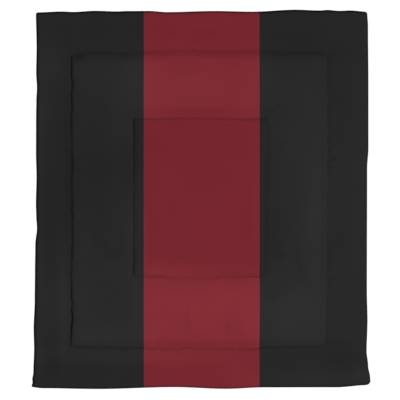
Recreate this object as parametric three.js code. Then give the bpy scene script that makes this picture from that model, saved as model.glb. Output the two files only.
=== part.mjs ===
// A reversible comforter lying flat with its face up, as one filled and quilted solid.
//
// A face cloth and a back cloth are sewn together round a knife edge. Two stitched
// rectangles, one inside the other, hold the filling, and draw both cloths together.
// Millimetres, +Z up, +Y towards the head end. The origin lies under the middle of the
// comforter, on the surface that it rests on.

import * as THREE from "three";
import { mergeGeometries, mergeVertices } from "three/addons/utils/BufferGeometryUtils.js";

const { clamp, inverseLerp, lerp, smoothstep } = THREE.MathUtils;

// Sewn size, a full-size comforter of 76 by 86 inches.
const WIDTH = 1930;
const LENGTH = 2184;

// Heights above the surface that it rests on.
const BORDER_LOFT = 22;
const CENTRE_LOFT = 40;
const EDGE_HEIGHT = 7;
const SEAM_THICKNESS = 4;

// Each panel is crowned: how far its middle rises, and how far from the stitching that takes.
const CROWN_RISE = 14;
const CROWN_REACH = 90;

// How the cloth falls to a line of stitching: a steep bank at the line, then a soft shoulder,
// which takes a share of the fall and is some times as wide as the bank.
const SHOULDER_SHARE = 0.3;
const SHOULDER_WIDENING = 4;

// The knife edge has a round bank, and a shoulder of its own.
const EDGE_BANK = 14;
const EDGE_SHOULDER_SHARE = 0.15;
const EDGE_SHOULDER_REACH = 18;

// How far from the stitching the back lies clear of the surface.
const BACK_GROOVE_REACH = 65;

// The back lies flat inside a straight-sided rectangle, this far inside the sewn size and
// drawn in a little at mid-length. Beyond it the back lifts to the knife edge.
const FLAT_INSET = 50;
const FLAT_DRAW_IN = 4;
const EDGE_LIFT_POWER = 1.3;

// The stitched rectangles. For each side: where its line lies at its left or foot end, how far
// it bows at mid-length, how much further over its other end lies, the height of the face on the
// line, and the width of the steep bank towards the middle and towards the edge.
const QUILTING = {
  outer: {
    left: { at: -755, bow: 4, lean: 0, height: 5, inner: 7, outer: 16 },
    right: { at: 718.5, bow: 4.5, lean: 7, height: 16, inner: 22, outer: 14 },
    foot: { at: -845.5, bow: -13.5, lean: 1.5, height: 10, inner: 24, outer: 7 },
    head: { at: 837, bow: 12.5, lean: 7, height: 5, inner: 22, outer: 8 },
  },
  inner: {
    left: { at: -395, bow: 0, lean: 0, height: 29, inner: 8, outer: 9 },
    right: { at: 364, bow: 0, lean: 13, height: 32, inner: 12, outer: 14 },
    foot: { at: -439, bow: -12, lean: 0, height: 29, inner: 11, outer: 9 },
    head: { at: 465, bow: 6, lean: 0, height: 30, inner: 7, outer: 15 },
  },
};

// Waves of the knife edge, a row for each crest and trough. "along" is measured from the
// side's middle, and "out" is how far the edge stands outside the sewn size.
const EDGE_WAVES = {
  left: [
    { along: -1092, out: 22 },
    { along: -1064, out: 15 },
    { along: -1045, out: 17 },
    { along: -1000, out: 10.5 },
    { along: -870, out: 6.5 },
    { along: -745, out: 9 },
    { along: -590, out: 3 },
    { along: -420, out: 1.5 },
    { along: -260, out: -0.5 },
    { along: -165, out: -10 },
    { along: -95, out: -6 },
    { along: -30, out: -4 },
    { along: 135, out: -7.5 },
    { along: 260, out: -4.5 },
    { along: 480, out: -5 },
    { along: 575, out: -6.5 },
    { along: 645, out: -10 },
    { along: 740, out: -5.5 },
    { along: 880, out: -8 },
    { along: 1092, out: -4 },
  ],
  right: [
    { along: -1092, out: 15 },
    { along: -1040, out: 12.5 },
    { along: -960, out: 0 },
    { along: -880, out: -8.5 },
    { along: -700, out: -3.5 },
    { along: -530, out: -7 },
    { along: 180, out: -5.5 },
    { along: 300, out: 2 },
    { along: 640, out: 2 },
    { along: 1000, out: -0.5 },
    { along: 1092, out: -5 },
  ],
  foot: [
    { along: -965, out: -5 },
    { along: -920, out: 2.5 },
    { along: -600, out: 7 },
    { along: -160, out: -4 },
    { along: 142, out: 6 },
    { along: 360, out: -2.5 },
    { along: 780, out: -3 },
    { along: 965, out: -16 },
  ],
  head: [
    { along: -965, out: -8 },
    { along: -810, out: -2.5 },
    { along: -740, out: -5 },
    { along: -620, out: 1.5 },
    { along: -490, out: -2 },
    { along: -440, out: 0.2 },
    { along: -310, out: 0.8 },
    { along: -205, out: -6 },
    { along: 70, out: 0.5 },
    { along: 280, out: -3.5 },
    { along: 535, out: 8 },
    { along: 675, out: 3.5 },
    { along: 722, out: 6.5 },
    { along: 790, out: 1.5 },
    { along: 860, out: 3.5 },
    { along: 965, out: -4 },
  ],
};

const CORNER_RADII = { footLeft: 8, footRight: 30, headLeft: 12, headRight: 14 };

// Soft hills and dents of the filling: the middle of each, its reach, and its rise.
const LUMPS = [
  { x: -137, y: 548, reachX: 45, reachY: 50, rise: -3 },
  { x: 110, y: 130, reachX: 75, reachY: 75, rise: 2 },
  { x: 110, y: -90, reachX: 70, reachY: 85, rise: 2 },
  { x: -560, y: 90, reachX: 110, reachY: 210, rise: -3 },
  { x: -520, y: -555, reachX: 90, reachY: 140, rise: -4 },
  { x: -640, y: -240, reachX: 85, reachY: 100, rise: 3 },
  { x: 470, y: -640, reachX: 110, reachY: 120, rise: 3 },
  { x: -850, y: 520, reachX: 55, reachY: 90, rise: -3 },
  { x: -868, y: -960, reachX: 75, reachY: 75, rise: -4 },
  { x: 832, y: -930, reachX: 85, reachY: 70, rise: -4 },
];

// Cells of the grid between neighbouring lines: the edge, the top of its bank, the limit of the
// flat back, the outer and the inner stitching, and the same back out.
const CELLS_ACROSS = [3, 3, 5, 9, 12, 9, 5, 3, 3];
const CELLS_ALONG = [3, 3, 5, 9, 14, 9, 5, 3, 3];

const CHARCOAL = 0x272727;

// A table's "out" at a place along its side, eased from row to row.
function waveAt(rows, along) {
  const last = rows.length - 1;
  const found = rows.findIndex((row) => row.along >= along);
  const next = found < 0 ? last : Math.max(found, 1);
  const [before, after] = [rows[next - 1], rows[next]];
  return lerp(before.out, after.out, smoothstep(along, before.along, after.along));
}

// How far a line stands from its straight course, an arch between its two ends.
function archAt(bow, start, end, along) {
  const half = (end - start) / 2;
  const fromMiddle = (along - start) / half - 1;
  return bow * Math.max(0, 1 - fromMiddle * fromMiddle);
}

// The lines that run one way, in order, each with its shift as a function of the other way.
function linesOf([low, high, halfSize], [start, end, halfLength]) {
  const { outer, inner } = QUILTING;
  const stitched = (frame, side) => {
    const { at, bow, lean } = frame[side];
    const [first, last] = [frame[start].at, frame[end].at];
    const share = (along) => clamp(inverseLerp(first, last, along), 0, 1);
    return { at, shift: (along) => archAt(bow, first, last, along) + lean * share(along) };
  };
  const flatEnd = halfLength - FLAT_INSET;
  const drawIn = (along) => archAt(FLAT_DRAW_IN, -flatEnd, flatEnd, along);
  const edgeLow = (along) => -waveAt(EDGE_WAVES[low], along);
  const edgeHigh = (along) => waveAt(EDGE_WAVES[high], along);
  return [
    { at: -halfSize, shift: edgeLow },
    { at: EDGE_BANK - halfSize, shift: edgeLow },
    { at: FLAT_INSET - halfSize, shift: drawIn },
    stitched(outer, low),
    stitched(inner, low),
    stitched(inner, high),
    stitched(outer, high),
    { at: halfSize - FLAT_INSET, shift: (along) => -drawIn(along) },
    { at: halfSize - EDGE_BANK, shift: edgeHigh },
    { at: halfSize, shift: edgeHigh },
  ];
}

const ACROSS_ENDS = ["left", "right", WIDTH / 2];
const ALONG_ENDS = ["foot", "head", LENGTH / 2];
const LINES_ACROSS = linesOf(ACROSS_ENDS, ALONG_ENDS);
const LINES_ALONG = linesOf(ALONG_ENDS, ACROSS_ENDS);

// The shift of a place between two lines, shared out by its distance from each.
function shiftBetween(lines, at, along) {
  const next = Math.max(1, lines.findIndex((line) => line.at >= at));
  const [before, after] = [lines[next - 1], lines[next]];
  const share = (at - before.at) / (after.at - before.at);
  return lerp(before.shift(along), after.shift(along), share);
}

// A place of the flat cut with the cut's corner rounded: the corner's square of cells is
// drawn in to a quarter of a disc.
function roundCorner(x, y) {
  const end = y < 0 ? "foot" : "head";
  const radius = CORNER_RADII[end + (x < 0 ? "Left" : "Right")];
  const acrossCentre = WIDTH / 2 - radius;
  const alongCentre = LENGTH / 2 - radius;
  const a = (Math.abs(x) - acrossCentre) / radius;
  const b = (Math.abs(y) - alongCentre) / radius;
  if (a <= 0 || b <= 0) return [x, y];
  return [
    Math.sign(x) * (acrossCentre + radius * a * Math.sqrt(1 - (b * b) / 2)),
    Math.sign(y) * (alongCentre + radius * b * Math.sqrt(1 - (a * a) / 2)),
  ];
}

// Where a place of the flat cut lies, seen from above.
function planOf(x, y) {
  const [roundX, roundY] = roundCorner(x, y);
  return [
    roundX + shiftBetween(LINES_ACROSS, x, y),
    roundY + shiftBetween(LINES_ALONG, y, x),
  ];
}

// The eight stitched lines as straight stretches of the flat cut.
const STITCHED_SIDES = Object.values(QUILTING).flatMap((frame) => {
  const { left, right, foot, head } = frame;
  const upright = (side) => ({ ...side, frame, from: [side.at, foot.at], to: [side.at, head.at] });
  const level = (side) => ({ ...side, frame, from: [left.at, side.at], to: [right.at, side.at] });
  return [upright(left), upright(right), level(foot), level(head)];
});

// Distance from a place to a stitched line, which runs along one of the axes.
function distanceTo(side, x, y) {
  const dx = Math.max(side.from[0] - x, 0, x - side.to[0]);
  const dy = Math.max(side.from[1] - y, 0, y - side.to[1]);
  return Math.hypot(dx, dy);
}

// Whether a place lies inside a stitched rectangle.
function isInside({ left, right, foot, head }, x, y) {
  return x > left.at && x < right.at && y > foot.at && y < head.at;
}

// The share of its fall that the cloth has made near a stitched line: two exponentials of the
// distance, whose widths differ inside and outside the rectangle.
function fallAt(side, x, y) {
  const distance = distanceTo(side, x, y);
  const bank = isInside(side.frame, x, y) ? side.inner : side.outer;
  const steep = Math.exp(-distance / bank);
  const soft = Math.exp(-distance / (SHOULDER_WIDENING * bank));
  return lerp(steep, soft, SHOULDER_SHARE);
}

// The same at the knife edge, whose bank is a quarter of an ellipse.
function edgeFallAt(distance) {
  const wayDown = 1 - clamp(distance / EDGE_BANK, 0, 1);
  const steep = 1 - Math.sqrt(1 - wayDown * wayDown);
  const soft = Math.exp(-distance / EDGE_SHOULDER_REACH);
  return lerp(steep, soft, EDGE_SHOULDER_SHARE);
}

// The share of its rise that the back has made at a distance from a line, nothing past its reach.
function liftAt(distance, reach, power) {
  return Math.max(0, 1 - distance / reach) ** power;
}

// Several shares of the same fall together, 1 wherever one of them is 1.
const together = (shares) => 1 - shares.reduce((rest, share) => rest * (1 - share), 1);

// A value of the stitched lines, weighted by their shares.
function weighted(shares, valueOf) {
  const total = shares.reduce((sum, share) => sum + share, 0);
  if (total === 0) return 0;
  return shares.reduce((sum, share, i) => sum + share * valueOf(STITCHED_SIDES[i]), 0) / total;
}

// The filling's height before it is quilted: a low border, a slope from the outer stitched
// rectangle up to the inner one, and a level middle.
function loftAt(x, y) {
  const { outer, inner } = QUILTING;
  const acrossShare =
    smoothstep(x, outer.left.at, inner.left.at) * (1 - smoothstep(x, inner.right.at, outer.right.at));
  const alongShare =
    smoothstep(y, outer.foot.at, inner.foot.at) * (1 - smoothstep(y, inner.head.at, outer.head.at));
  return lerp(BORDER_LOFT, CENTRE_LOFT, acrossShare * alongShare);
}

function lumpsAt(x, y) {
  return LUMPS.reduce((sum, lump) => {
    const across = (x - lump.x) / lump.reachX;
    const along = (y - lump.y) / lump.reachY;
    return sum + lump.rise * Math.exp(-across * across - along * along);
  }, 0);
}

// Distances from a place to the four stretches of the knife edge.
const edgeDistances = (x, y) => [WIDTH / 2 + x, WIDTH / 2 - x, LENGTH / 2 + y, LENGTH / 2 - y];

// The crown of each panel: nothing at the stitching and the edge, and most of its rise mid-panel.
function crownAt(x, y) {
  const distances = [...STITCHED_SIDES.map((side) => distanceTo(side, x, y)), ...edgeDistances(x, y)];
  return CROWN_RISE * (1 - together(distances.map((distance) => Math.exp(-distance / CROWN_REACH))));
}

// Height of the face: the crowned filling, drawn down to the stitching and to the edge.
function faceHeight(x, y) {
  const falls = STITCHED_SIDES.map((side) => fallAt(side, x, y));
  const filled = loftAt(x, y) + crownAt(x, y) + lumpsAt(x, y);
  const quilted = lerp(filled, weighted(falls, (side) => side.height), together(falls));
  return lerp(quilted, EDGE_HEIGHT, together(edgeDistances(x, y).map(edgeFallAt)));
}

// Height of the back: flat on the surface, lifted into grooves under the stitching and at the edge.
function backHeight(x, y) {
  const lifts = STITCHED_SIDES.map((side) => liftAt(distanceTo(side, x, y), BACK_GROOVE_REACH, 2));
  const groove = weighted(lifts, (side) => side.height - SEAM_THICKNESS) * together(lifts);
  const edgeLifts = edgeDistances(x, y).map((d) => liftAt(d, FLAT_INSET, EDGE_LIFT_POWER));
  return lerp(groove, EDGE_HEIGHT, together(edgeLifts));
}

// Places of the grid's lines one way, crowded towards the stitching and the edge.
function stationsOf(lines, cells) {
  const stations = [lines[0].at];
  cells.forEach((count, i) => {
    for (let step = 1; step <= count; step++) {
      const share = (1 - Math.cos((Math.PI * step) / count)) / 2;
      stations.push(lerp(lines[i].at, lines[i + 1].at, share));
    }
  });
  return stations;
}

const ACROSS = stationsOf(LINES_ACROSS, CELLS_ACROSS);
const ALONG = stationsOf(LINES_ALONG, CELLS_ALONG);

// One cloth as a grid of triangles, facing up or down. All cells are cut along the same
// diagonal but for two corner cells, so that no triangle has all its corners on the knife edge.
function clothGeometry(heightOf, facesUp) {
  const positions = ALONG.flatMap((y) => ACROSS.flatMap((x) => [...planOf(x, y), heightOf(x, y)]));
  const triangles = [];
  const columns = ACROSS.length;
  const lastRow = ALONG.length - 2;
  const lastColumn = columns - 2;
  for (let row = 0; row <= lastRow; row++) {
    for (let column = 0; column <= lastColumn; column++) {
      const a = row * columns + column;
      const [b, c, d] = [a + 1, a + columns + 1, a + columns];
      const footRight = row === 0 && column === lastColumn;
      const headLeft = row === lastRow && column === 0;
      const cell = footRight || headLeft ? [a, b, d, b, c, d] : [a, b, c, a, c, d];
      triangles.push(...(facesUp ? cell : cell.reverse()));
    }
  }
  return new THREE.BufferGeometry()
    .setAttribute("position", new THREE.Float32BufferAttribute(positions, 3))
    .setIndex(triangles);
}

// The two cloths joined at the knife edge, with the origin under the middle of their box.
function comforterGeometry() {
  const face = clothGeometry(faceHeight, true);
  const back = clothGeometry(backHeight, false);
  const joined = mergeVertices(mergeGeometries([face, back]));
  joined.computeBoundingBox();
  const middle = joined.boundingBox.getCenter(new THREE.Vector3());
  joined.translate(-middle.x, -middle.y, -joined.boundingBox.min.z);
  joined.computeVertexNormals();
  return joined;
}

const cloth = new THREE.MeshStandardMaterial({ color: CHARCOAL, roughness: 0.9, metalness: 0 });
const comforter = new THREE.Mesh(comforterGeometry(), cloth);
comforter.name = "comforter";

const part = new THREE.Group();
part.add(comforter);

export default part;
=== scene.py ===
"""A reversible comforter spread flat with its face up, seen from straight above.

The filled solid of the part is redrawn here as one closed cloth surface with gathered
stitching, and the quilting thread is added stitch by stitch. The tables are in
millimetres, as in a sewing plan, and every shape is worked out in metres.
"""

import math

import bpy
import numpy as np
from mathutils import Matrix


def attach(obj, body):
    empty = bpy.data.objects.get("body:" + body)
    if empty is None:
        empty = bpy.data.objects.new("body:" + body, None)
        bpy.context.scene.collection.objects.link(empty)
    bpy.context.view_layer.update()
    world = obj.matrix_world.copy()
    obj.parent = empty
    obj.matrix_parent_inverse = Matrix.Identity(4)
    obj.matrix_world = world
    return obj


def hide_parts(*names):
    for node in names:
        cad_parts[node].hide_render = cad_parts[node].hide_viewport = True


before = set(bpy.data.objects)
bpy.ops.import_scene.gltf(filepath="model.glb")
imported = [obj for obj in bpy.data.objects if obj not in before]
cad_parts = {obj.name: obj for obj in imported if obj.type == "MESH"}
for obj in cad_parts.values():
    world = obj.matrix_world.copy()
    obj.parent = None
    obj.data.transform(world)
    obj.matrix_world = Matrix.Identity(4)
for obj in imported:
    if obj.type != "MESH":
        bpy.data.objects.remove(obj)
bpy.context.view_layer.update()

MM = 0.001

# Sewn size and heights above the surface that the comforter rests on.
WIDTH = 1930 * MM
LENGTH = 2184 * MM
BORDER_LOFT = 22 * MM
CENTRE_LOFT = 40 * MM
EDGE_HEIGHT = 7 * MM
SEAM_THICKNESS = 4 * MM

# Each panel is crowned: how far its middle rises, and how far from the stitching that takes.
CROWN_RISE = 14 * MM
CROWN_REACH = 90 * MM

# How the cloth falls to a line of stitching: a steep bank, then a long soft shoulder, which takes
# a share of the fall and is some times as wide as the bank. The edge has a bank and shoulder of its
# own.
SHOULDER_SHARE = 0.3
SHOULDER_WIDENING = 4
EDGE_BANK = 14 * MM
EDGE_SHOULDER_SHARE = 0.15
EDGE_SHOULDER_REACH = 18 * MM

# The back lies flat inside a rectangle whose sides are drawn in a little, and lifts into grooves
# under the stitching and to the edge.
BACK_GROOVE_REACH = 65 * MM
FLAT_INSET = 50 * MM
FLAT_DRAW_IN = 4 * MM
EDGE_LIFT_POWER = 1.3

# The stitched rectangles, in millimetres. at: where a side's line lies at its left or foot end.
# bow: how far its middle stands over towards +X or +Y. lean: how far its other end does. height: of
# the face on the line. inner and outer: width of the steep bank towards the middle and towards the
# edge. pull: how far the line's ends are drawn in at the corners, or out where it is below nothing.
# pucker: height of the puckers. wander: how far the line strays, by noise from its seed. As shares:
# spare, the cloth that wrinkles beside the line, and last the painted shade along the fold.
QUILTING = {
    "outer": {
        "left": dict(
            at=-754.8, bow=2.1, lean=2.7, height=5, inner=7, outer=16,
            pull=-2, pucker=7.0, wander=6.0, spare=0.15, painted_fold_shade=0.68, seed=2716,
        ),
        "right": dict(
            at=718.5, bow=4.5, lean=7, height=16, inner=22, outer=14,
            pull=4.5, pucker=4.5, wander=2.5, spare=0.35, painted_fold_shade=0.05, seed=10,
        ),
        "foot": dict(
            at=-845.4, bow=-13.8, lean=1, height=10, inner=24, outer=7,
            pull=4.5, pucker=1.4, wander=4.5, spare=0.15, painted_fold_shade=0.05, seed=1758,
        ),
        "head": dict(
            at=835.5, bow=12, lean=7, height=5, inner=22, outer=8,
            pull=4.5, pucker=1.4, wander=5.0, spare=0.15, painted_fold_shade=0.15, seed=574,
        ),
    },
    "inner": {
        "left": dict(
            at=-394.6, bow=1.6, lean=1.5, height=29, inner=8, outer=9,
            pull=4.5, pucker=0.7, wander=3.3, spare=0.05, painted_fold_shade=0.4, seed=1838,
        ),
        "right": dict(
            at=364, bow=0, lean=13, height=32, inner=12, outer=14,
            pull=4.5, pucker=1.0, wander=1.8, spare=0.2, painted_fold_shade=0.08, seed=50,
        ),
        "foot": dict(
            at=-438.1, bow=-13.1, lean=-0.5, height=29, inner=11, outer=9,
            pull=4.5, pucker=0.4, wander=3.3, spare=0.05, painted_fold_shade=0.2, seed=434,
        ),
        "head": dict(
            at=467.2, bow=3.7, lean=-1.8, height=30, inner=7, outer=15,
            pull=4.5, pucker=0.4, wander=3.2, spare=0.05, painted_fold_shade=0.15, seed=3450,
        ),
    },
}

# How far from a corner of the stitching the ends of its lines are drawn in.
CORNER_PULL_REACH = 20 * MM

# How far each way from the middle the noise along a line runs, in metres.
NOISE_REACH = 2.0

# How a stitched line strays: the shares of its wander that a long and a short noise have, and the
# spacing of each.
LONG_STRAY = 0.6
LONG_STRAY_SPACING = 110 * MM
SHORT_STRAY = 0.55
SHORT_STRAY_SPACING = 34 * MM

# The puckers across a stitched line: the spacing of their short waves, and that of longer waves with
# their share; where they are highest beside the line, and their share inside the rectangle and on
# the back; how far they slant, as a share of the distance; how patchy they are; and how much of them
# is lost towards the line's ends.
PUCKER_SPACING = 13 * MM
LONG_PUCKER_SPACING = 40 * MM
LONG_PUCKER_SHARE = 0.6
PUCKER_PEAK = 20 * MM
PUCKER_SHARE_INSIDE = 0.55
PUCKER_SHARE_ON_BACK = 0.5
PUCKER_SLANT = 0.5
PUCKER_SLANT_SPACING = 160 * MM
PUCKER_PATCHINESS = 0.25
PUCKER_PATCH_SPACING = 230 * MM
PUCKER_LOSS_AT_ENDS = 0.8
PUCKER_SEED = 400
PUCKER_SEED_STEP = 10

# Painted shade along the fold of a stitched line: how far it reaches, its shares of the line's
# painted shade at mid-length and added towards the ends, and how uneven it is along the line.
PAINTED_FOLD_REACH = 4 * MM
PAINTED_FOLD_AT_MIDDLE = 0.6
PAINTED_FOLD_ADDED_AT_ENDS = 0.85
PAINTED_FOLD_UNEVENNESS = 0.4
PAINTED_FOLD_SPACING = 70 * MM
PAINTED_FOLD_SEED = 887

# Waves of the knife edge, in millimetres: (along the side from its middle, out of the sewn size).
EDGE_WAVES = {
    "left": [
        (-1092, 22), (-1064, 15), (-1045, 17), (-1000, 10.5), (-870, 6.5), (-745, 9), (-590, 3),
        (-420, 1.5), (-260, -0.5), (-165, -10), (-95, -6), (-30, -4), (135, -7.5), (260, -4.5),
        (480, -5), (575, -6.5), (645, -10), (740, -5.5), (880, -8), (1092, -4),
    ],
    "right": [
        (-1092, 15), (-1040, 12.5), (-960, 0), (-880, -8.5), (-700, -3.5), (-530, -7), (180, -5.5),
        (300, 2), (640, 2), (1000, -0.5), (1092, -5),
    ],
    "foot": [
        (-965, -5), (-920, 2.5), (-600, 7), (-160, -4), (142, 6), (360, -2.5), (780, -3), (965, -16),
    ],
    "head": [
        (-965, -8), (-810, -2.5), (-740, -5), (-620, 1.5), (-490, -2), (-440, 0.2), (-310, 0.8),
        (-205, -6), (70, 0.5), (280, -3.5), (535, 8), (675, 3.5), (722, 6.5), (790, 1.5), (860, 3.5),
        (965, -4),
    ],
}

# Radii of the cut's corners, in millimetres.
CORNER_RADII = {"foot left": 8, "foot right": 30, "head left": 12, "head right": 14}

# Soft hills and dents of the filling, in millimetres: (x, y, reach in x, reach in y, rise).
LUMPS = [
    (-137, 548, 45, 50, -3),
    (110, 130, 75, 75, 2),
    (110, -90, 70, 85, 2),
    (-560, 90, 110, 210, -3),
    (-520, -555, 90, 140, -4),
    (-640, -240, 85, 100, 3),
    (470, -640, 110, 120, 3),
    (-850, 520, 55, 90, -3),
    (-868, -960, 75, 75, -4),
    (832, -930, 85, 70, -4),
]

# Short wrinkles of the cloth, in millimetres and degrees:
# (x, y, turn from +X, length, half width, depth).
WRINKLES = [
    (414, 537, 23, 85, 9, 4.5),
    (446, 332, -4, 95, 9, 2.5),
    (440, -322, 8, 75, 10, 3.5),
    (415, -550, 2, 90, 13, 2.5),
    (-87, -675, 92, 170, 14, 2.0),
    (146, -735, 84, 75, 14, 2.0),
    (555, -360, 98, 280, 26, 3.5),
    (-569, -270, -47, 220, 22, 3.0),
    (-731, 803, 85, 60, 11, 3.5),
]

# Painted shade in the wrinkles: how much darker the colour is painted, as a share, for each
# millimetre of a wrinkle's depth.
PAINTED_WRINKLE_SHADE = 0.03

# Soft waves all over the filling: how many, their lengths, the height of each, and the share of it
# that they have outside the ring between the stitched rectangles.
WAVE_COUNT = 14
WAVE_LENGTHS = (130 * MM, 320 * MM)
WAVE_HEIGHT = 0.55 * MM
WAVE_SHARE_OUTSIDE_RING = 0.5
WAVE_SEED = 21

# Painted shade along the edge: how light the cloth's colour is painted at the edge on each side,
# as a share of its own colour, and how far inside the edge that painted shade begins to fade and
# has faded.
PAINTED_EDGE_SHADES = {"left": 0.36, "right": 0.85, "foot": 0.60, "head": 0.28}
PAINTED_EDGE_SHADE_REACH = (10 * MM, 15.5 * MM)

# Painted light and shade, as a nap value from 0, where the colour is painted dark, to 1, where it
# is painted pale with a whitish painted sheen: its value all over, what the ring between the
# stitched rectangles adds as painted light, and how soft the ring's limits are.
PAINTED_LIGHT_LEVEL = 0.40
RING_PAINTED_LIGHT = 0.20
RING_SOFTNESS = 30 * MM

# Patches of painted light and shade, by where they lie:
# (x, y, reach in x, reach in y, all in millimetres, and what is added to the nap value).
PAINTED_LIGHT_PATCHES = {
    "left border": [
        (-925, 600, 60, 350, 0.16),
        (-860, 800, 60, 110, 0.16),
        (-870, -30, 85, 260, -0.08),
        (-900, -600, 95, 240, 0.15),
        (-868, -960, 75, 75, -0.15),
        (-940, 0, 28, 1000, 0.18),
        (-935, -930, 28, 90, 0.15),
    ],
    "beside the outer left line": [
        (-780, 170, 24, 490, -0.17),
        (-805, -620, 32, 270, 0.24),
        (-738, -100, 12, 800, 0.14),
    ],
    "left of the ring": [
        (-600, 180, 165, 330, -0.23),
        (-425, 200, 45, 200, -0.20),
        (-475, -290, 40, 110, -0.10),
        (-405, 690, 130, 150, 0.18),
        (-705, -550, 75, 330, 0.18),
        (-520, -785, 220, 75, 0.19),
        (-570, -545, 70, 110, -0.08),
        (-385, -620, 35, 220, 0.09),
    ],
    "left of the middle": [
        (-367, -130, 32, 340, 0.40),
    ],
    "band": [
        (-65, -580, 320, 145, 0.13),
        (0, 250, 330, 200, -0.04),
        (268, -130, 45, 170, -0.08),
        (-10, 497, 350, 34, -0.20),
        (0, 449, 330, 12, 0.13),
        (-180, -405, 220, 40, 0.18),
        (-95, 660, 120, 45, 0.10),
        (0, 950, 700, 70, -0.05),
    ],
    "beside the outer foot line": [
        (0, -827, 700, 22, -0.19),
        (0, -847, 330, 7, 0.16),
        (0, -863, 720, 16, 0.15),
        (-420, -900, 480, 45, 0.24),
        (-705, -846, 45, 9, -0.30),
    ],
    "beside the outer head line": [
        (0, 827, 700, 26, -0.21),
        (0, 840, 320, 22, 0.10),
        (-715, 822, 35, 22, -0.35),
    ],
    "right of the ring": [
        (640, -60, 70, 460, 0.16),
        (510, -670, 220, 180, 0.26),
        (425, -205, 80, 200, -0.11),
        (366, 40, 14, 480, -0.09),
        (354, 462, 20, 18, -0.22),
        (410, -440, 40, 60, 0.10),
        (361, 720, 40, 110, 0.08),
        (665, 690, 50, 130, -0.08),
    ],
    "beside the outer right line": [
        (697, 120, 14, 780, -0.11),
        (722, 0, 10, 800, 0.12),
        (752, -80, 42, 640, 0.18),
    ],
    "right border": [
        (890, 0, 120, 900, 0.12),
        (825, -920, 90, 70, -0.10),
        (640, -1035, 320, 60, 0.22),
        (910, -1015, 50, 60, 0.12),
        (580, 930, 200, 80, -0.07),
    ],
}

# The printed band down the middle of the face.
BAND_HALF_WIDTH = 334.2 * MM

# Size of the cells of the cloth, how far they crowd towards the stitching, and the step between the
# lines of the grid that its coarsest copy keeps.
CELL = 7.5 * MM
CROWDING = 0.6
COARSEST_STEP = 4

# Keeps a mean from dividing by nothing where no line has a share.
LEAST_TOTAL = 1e-9


def smoothstep(value, low, high):
    """Nothing below low, 1 above high, and between them 3 t squared less 2 t cubed."""
    t = np.clip((value - low) / (high - low), 0, 1)
    return t * t * (3 - 2 * t)


def blend(low, high, share):
    """The value a share of the way from low to high."""
    return low + (high - low) * share


def bell(offset, reach):
    """A bell curve: e to the minus square of the offset as a share of the reach."""
    return np.exp(-((offset / reach) ** 2))


def noise_along(place, spacing, seed):
    """Random values from -1 to 1 at even spaces along a line, eased from one to the next."""
    knots = np.random.default_rng(seed).uniform(-1, 1, int(2 * NOISE_REACH / spacing) + 3)
    steps = (np.clip(place, -NOISE_REACH, NOISE_REACH) + NOISE_REACH) / spacing
    low = np.floor(steps).astype(int)
    return blend(knots[low], knots[low + 1], smoothstep(steps - low, 0, 1))


def wave_at(rows, along):
    """How far the knife edge stands out, eased by an S curve from one row to the next."""
    places, outs = np.array(rows).T * MM
    after = np.clip(np.searchsorted(places, along), 1, len(places) - 1)
    share = smoothstep(along, places[after - 1], places[after])
    return blend(outs[after - 1], outs[after], share)


def arch_at(bow, start, end, along):
    """An arch between two ends: the bow times one less the square of the place from the middle."""
    from_middle = 2 * (along - start) / (end - start) - 1
    return bow * np.maximum(0, 1 - from_middle**2)


def stray_at(wander, seed, along):
    """The hand-guided straying of a stitched line: its wander times a long noise and a short one."""
    long_noise = LONG_STRAY * noise_along(along, LONG_STRAY_SPACING, seed)
    short_noise = SHORT_STRAY * noise_along(along, SHORT_STRAY_SPACING, seed + 1)
    return wander * (long_noise + short_noise)


def lines_of(low, high, half_size, start, end, half_length):
    """The ten lines that cross one way, in order: their places, and each one's shift sideways as a
    function of the place along it. They are the edge, the top of its bank, the limit of the flat
    back, the outer and the inner stitching, and the same back out."""

    def stitched(name, side):
        """A stitched line, whose shift is the sum of its arch, its lean times the share of the way
        along it, and its straying."""
        row = QUILTING[name][side]
        first, last = (QUILTING[name][other]["at"] * MM for other in (start, end))
        return row["at"] * MM, lambda along: (
            arch_at(row["bow"] * MM, first, last, along)
            + row["lean"] * MM * np.clip((along - first) / (last - first), 0, 1)
            + stray_at(row["wander"] * MM, row["seed"], along)
        )

    flat_end = half_length - FLAT_INSET

    def draw_in(along):
        """How far the limit of the flat back is drawn in: an arch between its ends."""
        return arch_at(FLAT_DRAW_IN, -flat_end, flat_end, along)

    def edge_low(along):
        """Shift of the left or foot edge, whose waves stand out the other way."""
        return -wave_at(EDGE_WAVES[low], along)

    def edge_high(along):
        """Shift of the right or head edge."""
        return wave_at(EDGE_WAVES[high], along)

    return [
        (-half_size, edge_low),
        (EDGE_BANK - half_size, edge_low),
        (FLAT_INSET - half_size, draw_in),
        stitched("outer", low),
        stitched("inner", low),
        stitched("inner", high),
        stitched("outer", high),
        (half_size - FLAT_INSET, lambda along: -draw_in(along)),
        (half_size - EDGE_BANK, edge_high),
        (half_size, edge_high),
    ]


LINES_ACROSS = lines_of("left", "right", WIDTH / 2, "foot", "head", LENGTH / 2)
LINES_ALONG = lines_of("foot", "head", LENGTH / 2, "left", "right", WIDTH / 2)


def shift_between(lines, at, along):
    """The sum of the lines' shifts, each times a hat that is 1 on its line and 0 on the next."""
    places = [place for place, _ in lines]
    hats = np.eye(len(lines))
    return sum(np.interp(at, places, hat) * shift(along) for hat, (_, shift) in zip(hats, lines))


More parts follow.
